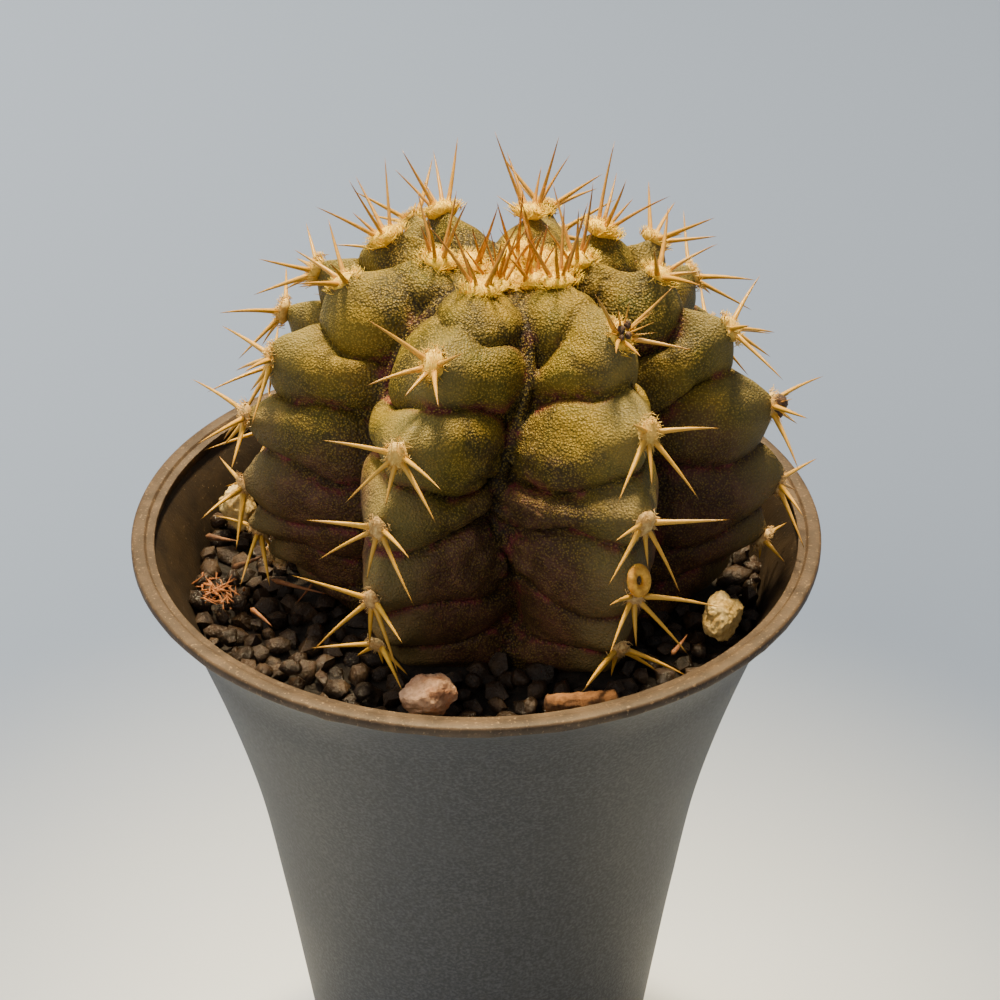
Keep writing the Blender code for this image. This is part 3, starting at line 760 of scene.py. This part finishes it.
def spine_finish():
    f = Finish("spine", Roughness=0.4)
    along, tint = f.attribute("along"), f.attribute("tint")
    fine = f.noise(0.5 * MM, 3, 0.6)
    straw = f.mix(tint, (0.66, 0.35, 0.035), (0.33, 0.125, 0.012))
    straw = f.mix(fine.step(0.45, 0.7) * 0.3, straw, (0.82, 0.52, 0.07))
    colour = f.mix(along.step(0.5, 1.0) * (0.45 + 0.4 * tint), straw, (0.14, 0.035, 0.010))
    colour = f.mix((1 - along.step(0.0, 0.16)) * 0.5, colour, (0.78, 0.50, 0.11))
    f.bump(fine, 0.05 * MM, 0.5)
    return f.done(Base_Color=colour)


def wool_finish():
    f = Finish("wool", Roughness=0.9)
    age = f.attribute("age")
    fine = f.noise(0.6 * MM, 3, 0.6)
    young = f.mix(fine.step(0.3, 0.7), (0.78, 0.46, 0.018), (0.93, 0.67, 0.055))
    old = f.mix(fine.step(0.3, 0.7), (0.52, 0.29, 0.095), (0.80, 0.56, 0.23))
    colour = f.mix(age, young, old)
    return f.done(Base_Color=colour)


def clear_length(foot, direction, length):
    """The length at which a spine stays clear of the soil and of the pot, or 0 where none does."""
    for share in (1.0, 0.95, 0.9, 0.85, 0.8, 0.75, 0.7, 0.6, 0.5):
        tip = foot + direction * length * share
        over_rim = tip.z > POT_HEIGHT + 1.5 * MM
        wall = RIM_RADIUS if over_rim else pot_radius(tip.z) - WALL - 1.2 * MM
        if tip.z > SOIL_TOP + 2.4 * MM and math.hypot(tip.x, tip.y) < wall:
            return length * share
    return 0


def areole(index, theta, rng, upright, reach):
    """Feet, directions and lengths of the spines of one areole."""
    place, normal, down = stem_frame(index, theta)
    left = down.cross(normal)
    found = []
    for turn, tilt, share in RADIAL_SPINES:
        turn = math.radians(turn + rng.uniform(-12, 12))
        tilt = math.radians(min(tilt + upright + rng.uniform(-7, 9), 82))
        flat = down * math.cos(turn) + left * math.sin(turn)
        direction = (flat * math.cos(tilt) + normal * math.sin(tilt)).normalized()
        length = SPINE_LENGTH * share * rng.uniform(0.85, 1.1) * reach
        foot = place + flat * 0.5 * PAD_WIDTH + normal * 0.2 * MM
        length = clear_length(foot, direction, length)
        if length:
            found.append((foot, direction, length))
    return found


def crown(rng):
    """Pads round the dimple of the crown, and the spines standing up on them."""
    pads, found = [], []
    for i in range(5):
        index = i * len(RIBS) // 5
        place, normal, down = stem_frame(index, math.radians(6))
        side = down.cross(normal)
        pads.append((place, normal, down))
        for lean in (-38, 4, 40):
            turn = math.radians(lean + rng.uniform(-10, 10))
            direction = down * 0.35 * rng.uniform(-0.6, 1.2) + side * math.sin(turn) * 0.7
            direction = (direction + Vector((0, 0, 1))).normalized()
            foot = place + side * 0.9 * MM * math.sin(turn) - down * 0.6 * MM
            found.append((foot, direction, SPINE_LENGTH * rng.uniform(0.9, 1.25)))
    return pads, found


class Coat:
    """The spines and the wool of the whole plant, gathered as they grow."""

    def __init__(self):
        self.places, self.chance = random.Random(7), random.Random(8)
        self.spines, self.wool = [], []

    def grow(self, needles, darkness, thick):
        """Adds spines, given by their feet, directions and lengths."""
        for foot, direction, length in needles:
            side = direction.orthogonal().normalized()
            other = direction.cross(side)
            bow = side * self.chance.uniform(-1, 1) + other * self.chance.uniform(-1, 1)
            bow = bow * 0.07 * length
            bow.z -= 0.05 * length
            radius = SPINE_ROOT_RADIUS * thick * self.chance.uniform(0.9, 1.15)
            bm = spine_mesh(foot, direction, bow, length, radius)
            set_layer(bm, "tint", [darkness * self.chance.uniform(0.6, 1)] * len(bm.verts))
            self.spines.append(bm)

    def pad(self, place, normal, down, size, age, hairs, wide_by):
        for part in pad_mesh(place, normal, down, size, self.chance, hairs, wide_by):
            set_layer(part, "age", [age] * len(part.verts))
            self.wool.append(part)


def coat_crown(coat):
    """The ring of pads with their spines, and a last pad in their middle with thinner spines round it."""
    chance = coat.chance
    pads, needles = crown(coat.places)
    tilted = []
    for foot, direction, length in needles:
        lean = Vector((chance.uniform(-0.45, 0.45), chance.uniform(-0.35, 0.25), 0))
        tilted.append((foot, (direction + lean).normalized(), length * chance.uniform(0.75, 1.1)))
    coat.grow(tilted, 1.0, 0.8)
    for place, normal, down in pads:
        coat.pad(place, normal, down, 1.15, 0.0, 240, 1.4)
    heart = Vector(stem_points(0, 0.0, 0.02)) + Vector((0, 0, 0.2 * MM))
    coat.pad(heart, Vector((0, 0, 1)), Vector((0, -1, 0)), 1.4, 0.0, 300, 1.3)
    thin = []
    for _ in range(12):
        turn, out = chance.uniform(0, 2 * math.pi), chance.uniform(1.0, 5.0) * MM
        aside = Vector((math.sin(turn), -math.cos(turn), 0))
        across = Vector((chance.uniform(-0.7, 0.7), chance.uniform(-0.5, 0.3), 0))
        lean = (across - aside * 0.2 + Vector((0, 0, 1))).normalized()
        thin.append((heart + aside * out, lean, SPINE_LENGTH * chance.uniform(0.8, 1.25)))
    coat.grow(thin, 1.0, 0.66)


def coat_ribs(coat):
    """Spines and a wool pad on every areole, the pads duller and smaller down the rib."""
    for index, rib in enumerate(RIBS):
        for k, angle in enumerate(rib["areoles"]):
            theta = math.radians(angle)
            growth = GROWTH[min(k, len(GROWTH) - 1)]
            needles = areole(index, theta, coat.places, growth["upright"], growth["reach"])
            coat.grow(needles, max(0.0, 1 - angle / 50), growth["thick"])
            age = clamp(angle / 60 - 0.35)
            coat.pad(*stem_frame(index, theta), growth["pad"], age, growth["hairs"], growth["wide"])


def coat_frayed(coat):
    """Short thin spines that stand every way round the dried buds."""
    chance = coat.chance
    for index, k, reach in FRAYED:
        place, normal, down = stem_frame(index, math.radians(RIBS[index]["areoles"][k]))
        left = down.cross(normal)
        frayed = []
        for _ in range(9):
            turn = chance.uniform(-2.6, 2.6)
            away = left * math.sin(turn) - down * math.cos(turn) * 0.8 + normal * chance.uniform(0.5, 1.3)
            length = reach * chance.uniform(0.6, 1.0) * MM
            frayed.append((place + away * 0.9 * MM, away.normalized(), length))
        coat.grow(frayed, 0.2, 0.42)


def make_spines_and_wool():
    coat = Coat()
    coat_crown(coat)
    coat_ribs(coat)
    coat_frayed(coat)
    add_piece("spines", gather(coat.spines), spine_finish(), "cactus")
    add_piece("wool_pads", gather(coat.wool), wool_finish(), "cactus")


def make_dried_buds():
    """Dried buds on two areoles of the right-hand ribs."""
    parts = []
    for index, k, spots in DRIED_BUDS:
        place, normal, down = stem_frame(index, math.radians(RIBS[index]["areoles"][k]))
        left = down.cross(normal)
        for aside, below, over, radius in spots:
            bm = bmesh.new()
            bmesh.ops.create_icosphere(bm, subdivisions=3, radius=radius * MM)
            at = place + (left * aside + down * below + normal * over) * MM
            for vert in bm.verts:
                vert.co *= 1 + 0.35 * noise.noise(vert.co * 1400 + place * 300)
                vert.co += at
            parts.append(bm)
    f = Finish("dried_bud", Roughness=0.8)
    fine = f.noise(0.5 * MM, 4, 0.65)
    colour = f.mix(fine.step(0.35, 0.7), (0.020, 0.012, 0.010), (0.16, 0.085, 0.045))
    f.bump(fine, 0.3 * MM, 0.8)
    add_piece("dried_buds", gather(parts), f.done(Base_Color=colour), "cactus")


def make_scar_ring():
    """The orange ring of a scar over a low areole of the second rib."""
    place, normal, down = stem_frame(1, math.radians(RIBS[1]["areoles"][4] - 2.5))
    radius, section = SCAR_RING
    turns = np.linspace(0, 2 * math.pi, 13)
    ring = spun([((radius + section * math.cos(a)) * MM, section * math.sin(a) * MM) for a in turns], 28)
    frame = Matrix((down.cross(normal), down * 1.3, normal)).transposed().to_4x4()
    bmesh.ops.transform(ring, matrix=Matrix.Translation(place + normal * 0.9 * MM) @ frame, verts=ring.verts)
    f = Finish("scar", Roughness=0.6)
    fine = f.noise(0.8 * MM, 3, 0.6)
    colour = f.mix(fine.step(0.35, 0.7), (0.55, 0.24, 0.02), (0.90, 0.48, 0.05))
    f.bump(fine, 0.2 * MM, 0.7)
    add_piece("scar_ring", ring, f.done(Base_Color=colour), "cactus")


# The soil
def chipped(bm, rng, planes, low, high):
    """Cuts flat faces on a round stone by pushing its points back behind random planes."""
    for _ in range(planes):
        out = Vector([rng.gauss(0, 1) for _ in range(3)]).normalized()
        reach = rng.uniform(low, high)
        for vert in bm.verts:
            over = vert.co.dot(out) - reach
            if over > 0:
                vert.co -= out * over


def granule_mesh(place, size, seed, subdivisions):
    bm = bmesh.new()
    bmesh.ops.create_icosphere(bm, subdivisions=subdivisions, radius=1)
    rng = random.Random(seed)
    shift = Vector((rng.uniform(0, 90), rng.uniform(0, 90), rng.uniform(0, 90)))
    stretch = Vector((rng.uniform(0.85, 1.25), rng.uniform(0.75, 1.0), rng.uniform(0.7, 0.95)))
    around, over = rng.uniform(0, 2 * math.pi), rng.uniform(-0.5, 0.5)
    turn = Matrix.Rotation(around, 3, "Z") @ Matrix.Rotation(over, 3, "X")
    chipped(bm, rng, 10, 0.60, 0.90)
    for vert in bm.verts:
        lump = lumpiness(vert.co, shift, (0.14, 1.7), (0.09, 4.5))
        vert.co = turn @ (vert.co * lump * stretch) * size * 1.1 + place
    set_layer(bm, "grain", [rng.random()] * len(bm.verts))
    return bm


def near_loose_piece(x, y, margin):
    """Whether a granule at this place would cover a stone or the bark."""
    x, y = x / MM, y / MM
    for spec in PEBBLES.values():
        if math.hypot(x - spec["at"][0], y - spec["at"][1]) < max(spec["half"]) + margin:
            return True
    beside = abs(x - BARK["at"][0]) < BARK["length"] / 2 + margin
    return beside and abs(y - BARK["at"][1]) < BARK["radius"] + margin


def hides_in_stem(x, y, margin):
    """Whether a granule at this place would lie inside the stem."""
    dx, dy = x - STEM_X, y - STEM_Y
    azimuth = math.atan2(dx, -dy)
    aways = []
    for index in range(len(RIBS)):
        away = azimuth - float(rib_azimuth(index, STEM_AT_SOIL))
        aways.append((away + math.pi) % (2 * math.pi) - math.pi)
    index = min(range(len(RIBS)), key=lambda i: abs(aways[i]))
    q = max(-1.0, min(1.0, aways[index] / (math.pi / len(RIBS))))
    point = stem_points(index, q, STEM_AT_SOIL)
    return math.hypot(dx, dy) < math.hypot(point[0] - STEM_X, point[1] - STEM_Y) + margin


def crowded(x, y, z, size, taken, near):
    """Whether a granule would sink into one that has its place already."""
    for a, b, c, other in taken:
        if (x - a) ** 2 + (y - b) ** 2 + (z - c) ** 2 < (near * (size + other)) ** 2:
            return True
    return False


def make_granules():
    """Granules thrown down at random, each kept only where it finds room."""
    rng = random.Random(11)
    parts, taken = [], []
    wall = pot_radius(SOIL_TOP) - WALL
    for layer, spec in enumerate(GRANULE_LAYERS):
        placed = 0
        for _ in range(GRANULE_TRIES):
            size = rng.uniform(1.3, 2.15) * MM * (SMALLER if placed > FULL_SIZE_GRANULES else 1)
            angle, out = rng.uniform(0, 2 * math.pi), math.sqrt(rng.uniform(0.18, 1))
            away = out * (wall - size * 0.95)
            x, y = away * math.cos(angle), away * math.sin(angle)
            z = SOIL_TOP + rng.uniform(spec["low"], spec["high"]) * MM
            if hides_in_stem(x, y, size * 0.4):
                continue
            if layer == 1 and near_loose_piece(x, y, size / MM * 0.5):
                continue
            if crowded(x, y, z, size, taken, spec["near"]):
                continue
            taken.append((x, y, z, size))
            parts.append(granule_mesh(Vector((x, y, z)), size, rng.random(), spec["subdivisions"]))
            placed += 1
    granules = add_piece("soil_granules", gather(parts), granule_finish(), "soil")
    granules.data.set_sharp_from_angle(angle=math.radians(50))


def granule_finish():
    f = Finish("granules")
    tone = f.attribute("grain")
    dust = f.noise(2.2 * MM, 5, 0.65)
    pits = f.noise(0.5 * MM, 4, 0.7)
    base = f.mix(tone, (0.013, 0.0075, 0.004), (0.042, 0.023, 0.011))
    base = f.mix(dust.step(0.5, 0.78) * 0.55, base, (0.13, 0.075, 0.034))
    base = f.mix(pits.step(0.58, 0.76) * 0.45, base, (0.30, 0.18, 0.085))
    f.bump(pits, 0.40 * MM, 0.9)
    f.bump(dust, 0.5 * MM, 0.5)
    return f.done(Base_Color=base, Roughness=0.14 + 0.34 * dust)


def make_soil_bed():
    """The dark soil under the granules, as wide as the pot lets it be."""
    top, low = SOIL_TOP - 2.4 * MM, FLOOR_Z + FLOOR_THICKNESS + 0.4 * MM
    side = [(pot_radius(z) - WALL - 0.3 * MM, z) for z in np.linspace(low, top, 20)]
    bed = spun([(0, low), *side, (0, top)], 96)
    f = Finish("soil_dark", Roughness=0.95)
    dust = f.noise(1.6 * MM, 5, 0.65)
    base = f.mix(dust.step(0.3, 0.8), (0.010, 0.008, 0.006), (0.04, 0.027, 0.018))
    f.bump(dust, 0.8 * MM, 0.9)
    add_piece("soil_bed", bed, f.done(Base_Color=base), "soil")


def make_fibres():
    """Twigs and a tangle of reddish bark fibre between the granules."""
    rng = random.Random(5)
    parts = []

    def stick(start, end, radius, tint):
        start, end = [Vector((x * MM, y * MM, SOIL_TOP + z * MM)) for x, y, z in (start, end)]
        run = end - start
        bow = run.orthogonal().normalized() * run.length * rng.uniform(-0.12, 0.12)
        bm = spine_mesh(start, run.normalized(), bow, run.length, radius * MM, 6, 8)
        set_layer(bm, "tint", [tint] * len(bm.verts))
        parts.append(bm)

    for twig in TWIGS:
        stick(*twig)
    for _ in range(TANGLE_TRIES):
        x, y = [at + rng.gauss(0, spread) for at, spread in zip(TANGLE_AT, TANGLE_SPREAD)]
        if math.hypot(x, y) > TANGLE_INSIDE - 0.2:
            continue
        dx, dy = rng.uniform(-2.6, 2.6), rng.uniform(-2.6, 2.6)
        if math.hypot(x + dx, y + dy) < TANGLE_INSIDE:
            start = (x, y, rng.uniform(1.4, 2.6))
            end = (x + dx, y + dy, rng.uniform(1.6, 3.4))
            stick(start, end, rng.uniform(0.1, 0.24), 1.0)
    f = Finish("fibre", Roughness=0.7)
    fine = f.noise(0.7 * MM, 3, 0.6)
    brown = f.mix(f.attribute("tint"), (0.020, 0.013, 0.009), (0.30, 0.10, 0.025))
    colour = f.mix(fine.step(0.4, 0.7) * 0.4, brown, (0.42, 0.19, 0.06))
    f.bump(fine, 0.1 * MM, 0.6)
    add_piece("fibres", gather(parts), f.done(Base_Color=colour), "soil")


# Loose pieces
def make_pebble(name, spec):
    """A rough chipped stone, set level on the soil."""
    bm = bmesh.new()
    bmesh.ops.create_icosphere(bm, subdivisions=5, radius=1)
    chipped(bm, random.Random(spec["at"][0]), 14, 0.70, 0.96)
    shift = Vector((*spec["at"], 3.0))
    half = Vector(spec["half"]) * MM * 1.12
    half.z *= 1.2
    base = SOIL_TOP + 0.35 * MM
    place = Vector((spec["at"][0] * MM, spec["at"][1] * MM, base + 0.95 * half.z))
    turn = Matrix.Rotation(math.radians(spec["turn"]), 3, "Z")
    for vert in bm.verts:
        lump = lumpiness(vert.co, shift, (0.14, 1.6), (0.06, 5), (0.05, 9), (0.03, 22))
        point = turn @ (vert.co * lump * half) + place
        vert.co = Vector((point.x, point.y, max(point.z, base + 0.2 * MM)))
    f = Finish(name + "_stone", Roughness=0.9)
    fine, broad = f.noise(0.55 * MM, 5, 0.7), f.noise(2.4 * MM, 3, 0.6)
    colour = f.mix(broad.step(0.35, 0.65), spec["deep"], spec["pale"])
    colour = f.mix(fine.step(0.55, 0.8) * 0.6, colour, tuple(0.35 * c for c in spec["deep"]))
    f.bump(fine, 0.5 * MM, 0.9)
    f.bump(f.cells(0.8 * MM), 0.3 * MM, 0.7)
    add_piece(name, bm, f.done(Base_Color=colour), name)


def make_bark():
    """A short blunt rod of bark that lies on the soil."""
    bm = bmesh.new()
    radius, length = BARK["radius"] * MM, BARK["length"] * MM
    bmesh.ops.create_uvsphere(bm, u_segments=40, v_segments=48, radius=1)
    turn = Matrix.Rotation(math.radians(BARK["turn"]), 3, "Z") @ Matrix.Rotation(math.pi / 2, 3, "Y")
    place = Vector((BARK["at"][0] * MM, BARK["at"][1] * MM, SOIL_TOP + 1.5 * MM + radius))
    for vert in bm.verts:
        x, y, z = vert.co
        ring = max(1e-6, math.hypot(x, y))
        full = min(1.0, ring * 2.4) / ring
        rough = 0.88 + 0.12 * noise.noise(Vector((x * full, y * full, z * 2.5)) * 2.2)
        rough += 0.05 * noise.noise(vert.co * 9)
        point = Vector((x * full * radius * rough, y * full * radius * rough, z * length / 2))
        vert.co = turn @ point + place
    f = Finish("bark_brown", Roughness=0.95)
    fine, broad = f.noise(0.6 * MM, 5, 0.7), f.noise(2 * MM, 3, 0.6)
    colour = f.mix(broad.step(0.3, 0.7), (0.085, 0.035, 0.012), (0.30, 0.13, 0.040))
    f.bump(fine, 0.4 * MM, 0.9)
    add_piece("bark_piece", bm, f.done(Base_Color=colour), "bark_piece")


# The room
def make_camera():
    forward = Vector((0, math.cos(CAMERA_ELEVATION), -math.sin(CAMERA_ELEVATION)))
    up = Vector((0, math.sin(CAMERA_ELEVATION), math.cos(CAMERA_ELEVATION)))
    per_pixel = SENSOR_WIDTH / FOCAL_LENGTH / FRAME_PIXELS * RIM_TO_CAMERA
    aside = Vector((1, 0, 0)) * (RIM_IN_FRAME[0] - FRAME_PIXELS / 2) * per_pixel
    aside -= up * (RIM_IN_FRAME[1] - FRAME_PIXELS / 2) * per_pixel
    data = bpy.data.cameras.new("camera")
    data.lens, data.sensor_width, data.clip_start = FOCAL_LENGTH, SENSOR_WIDTH, 0.01
    camera = bpy.data.objects.new("camera", data)
    place = Vector((0, 0, POT_HEIGHT)) - forward * RIM_TO_CAMERA - aside
    turn = Matrix((Vector((1, 0, 0)), up, -forward)).transposed().to_4x4()
    camera.matrix_world = Matrix.Translation(place) @ turn
    bpy.context.scene.collection.objects.link(camera)
    bpy.context.scene.camera = camera


def hang_lamp(name, data, place, aim_height):
    """Puts a lamp in its place, turned towards the pot's axis at a height."""
    light = bpy.data.objects.new(name, data)
    light.location = place
    aim = Vector((0, 0, aim_height)) - Vector(place)
    light.rotation_euler = aim.to_track_quat("-Z", "Y").to_euler()
    bpy.context.scene.collection.objects.link(light)
    return light


def area_light(name, place, power, size, colour):
    data = bpy.data.lights.new(name, "AREA")
    data.shape, data.energy, data.size, data.color = "DISK", power, size, colour
    return hang_lamp(name, data, place, 0.11)


def warm_spot(place, power, colour):
    """A warm lamp from above and behind, just wide enough for the plant and the pot."""
    data = bpy.data.lights.new("lamp", "SPOT")
    data.energy, data.color, data.shadow_soft_size = power, colour, 0.09
    data.spot_size, data.spot_blend = math.radians(10.5), 0.4
    hang_lamp("lamp", data, place, 0.112)


def make_floor():
    bm = bmesh.new()
    bmesh.ops.create_grid(bm, x_segments=1, y_segments=1, size=6)
    mesh = bpy.data.meshes.new("floor")
    bm.to_mesh(mesh)
    bm.free()
    floor = bpy.data.objects.new("floor", mesh)
    bpy.context.scene.collection.objects.link(floor)
    f = Finish("floor_paint", Roughness=0.85, Base_Color=(0.66, 0.70, 0.73, 1))
    mesh.materials.append(f.material)


def make_light():
    world = bpy.data.worlds.new("room")
    bpy.context.scene.world = world
    world.use_nodes = True
    background = world.node_tree.nodes["Background"]
    background.inputs["Color"].default_value = (0.86, 0.92, 1.0, 1)
    background.inputs["Strength"].default_value = 0.30
    warm_spot((0.0, 0.27, 0.87), 185, (1.0, 0.80, 0.48))
    back = area_light("back", (-0.45, 0.50, 0.85), 9, 0.5, (0.93, 0.97, 1.0))
    back.visible_glossy = False
    area_light("fill", (-0.4, -0.6, 0.55), 2.0, 0.6, (1.0, 0.90, 0.78))


def main():
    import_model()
    make_pot()
    add_piece("stem", make_stem(), skin_finish(), "cactus")
    make_spines_and_wool()
    make_dried_buds()
    make_scar_ring()
    make_granules()
    make_soil_bed()
    make_fibres()
    for name, spec in PEBBLES.items():
        make_pebble(name, spec)
    make_bark()
    make_floor()
    make_light()
    make_camera()


main()
